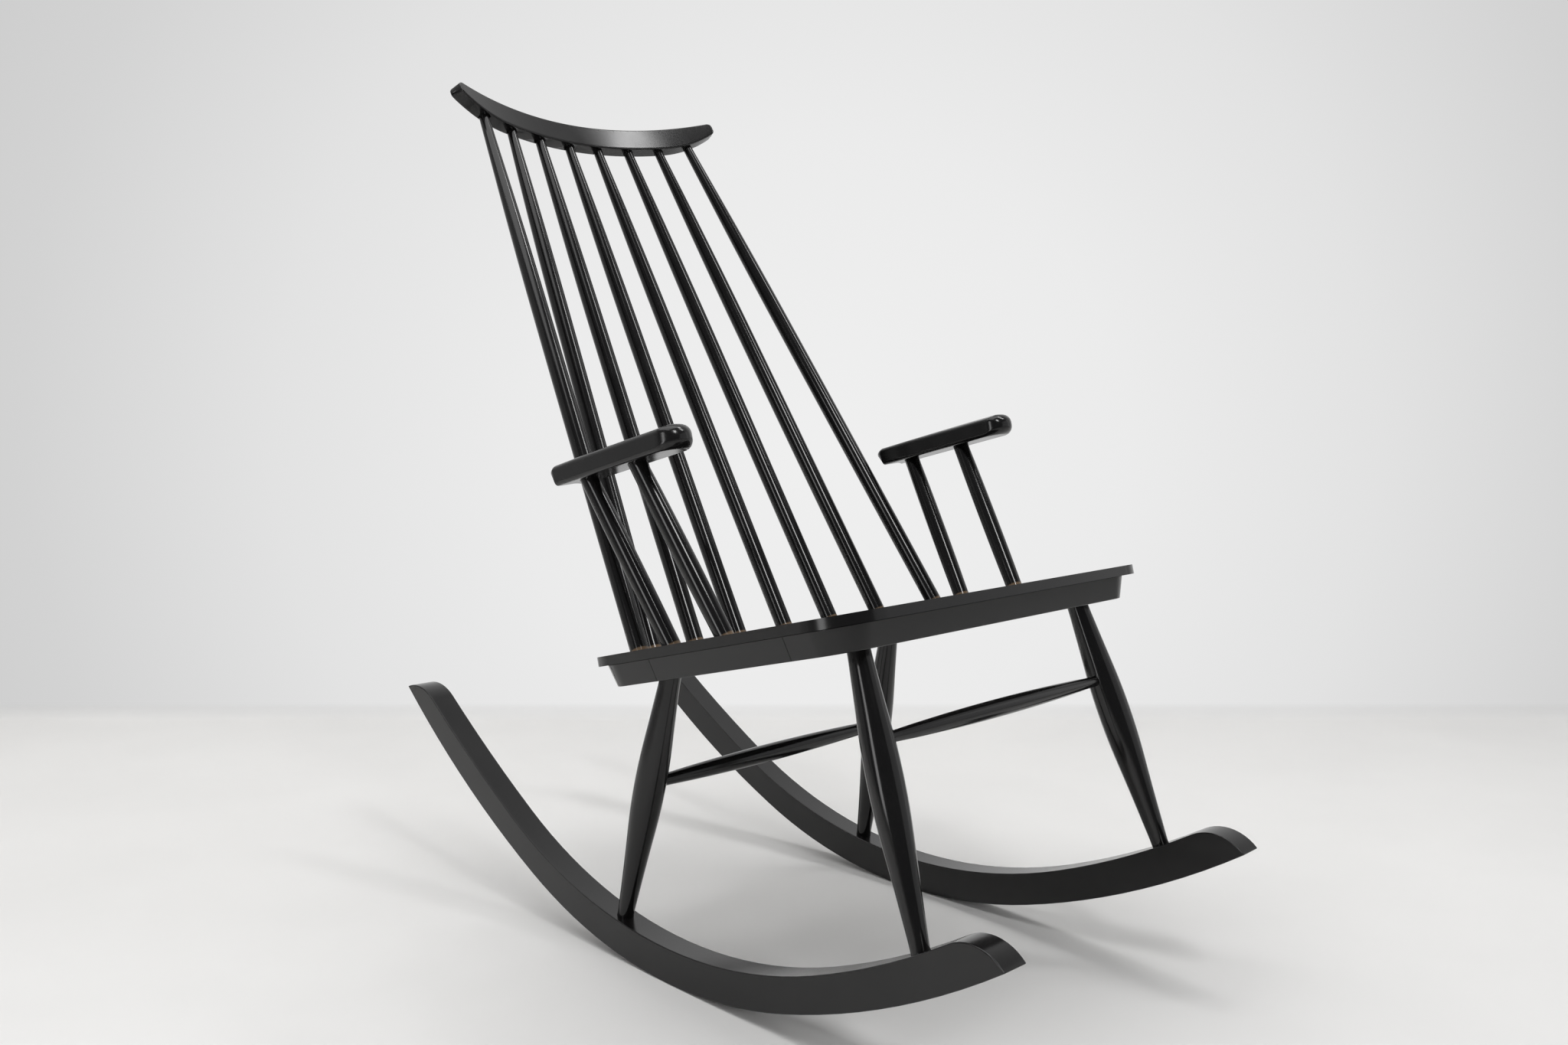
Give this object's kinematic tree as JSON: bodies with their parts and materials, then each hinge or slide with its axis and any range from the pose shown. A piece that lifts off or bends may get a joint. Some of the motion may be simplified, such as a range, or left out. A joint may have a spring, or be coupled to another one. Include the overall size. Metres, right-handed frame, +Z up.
{
  "type": "comb-back rocking chair",
  "caption": "Wooden rocking chair with a bent crest rail on slender turned spindles, a sloping plank seat, armrests on posts, turned legs and curved rockers.",
  "frame": {"origin": "on the floor, under the middle of the chair's outline seen from above", "axes": "+Z up, -Y the way the sitter faces, +X to the sitter's left; +Z is the longest extent and +X the shortest, across the chair"},
  "size_m": [0.5964, 1.0524, 1.0657],
  "materials": {
    "lacquered_wood": "satin black lacquer"
  },
  "bodies": {
    "root": {"arm_left": "lacquered_wood", "arm_post_front_left": "lacquered_wood", "arm_post_front_right": "lacquered_wood", "arm_post_rear_left": "lacquered_wood", "arm_post_rear_right": "lacquered_wood", "arm_right": "lacquered_wood", "back_spindle_1": "lacquered_wood", "back_spindle_2": "lacquered_wood", "back_spindle_3": "lacquered_wood", "back_spindle_4": "lacquered_wood", "back_spindle_5": "lacquered_wood", "back_spindle_6": "lacquered_wood", "back_spindle_7": "lacquered_wood", "back_spindle_8": "lacquered_wood", "crest_rail": "lacquered_wood", "front_stretcher": "lacquered_wood", "leg_front_left": "lacquered_wood", "leg_front_right": "lacquered_wood", "leg_rear_left": "lacquered_wood", "leg_rear_right": "lacquered_wood", "rear_stretcher": "lacquered_wood", "rocker_left": "lacquered_wood", "rocker_right": "lacquered_wood", "seat_panel": "lacquered_wood", "seat_rail_front": "lacquered_wood", "seat_rail_left": "lacquered_wood", "seat_rail_rear": "lacquered_wood", "seat_rail_right": "lacquered_wood"}
  },
  "joints": []
}
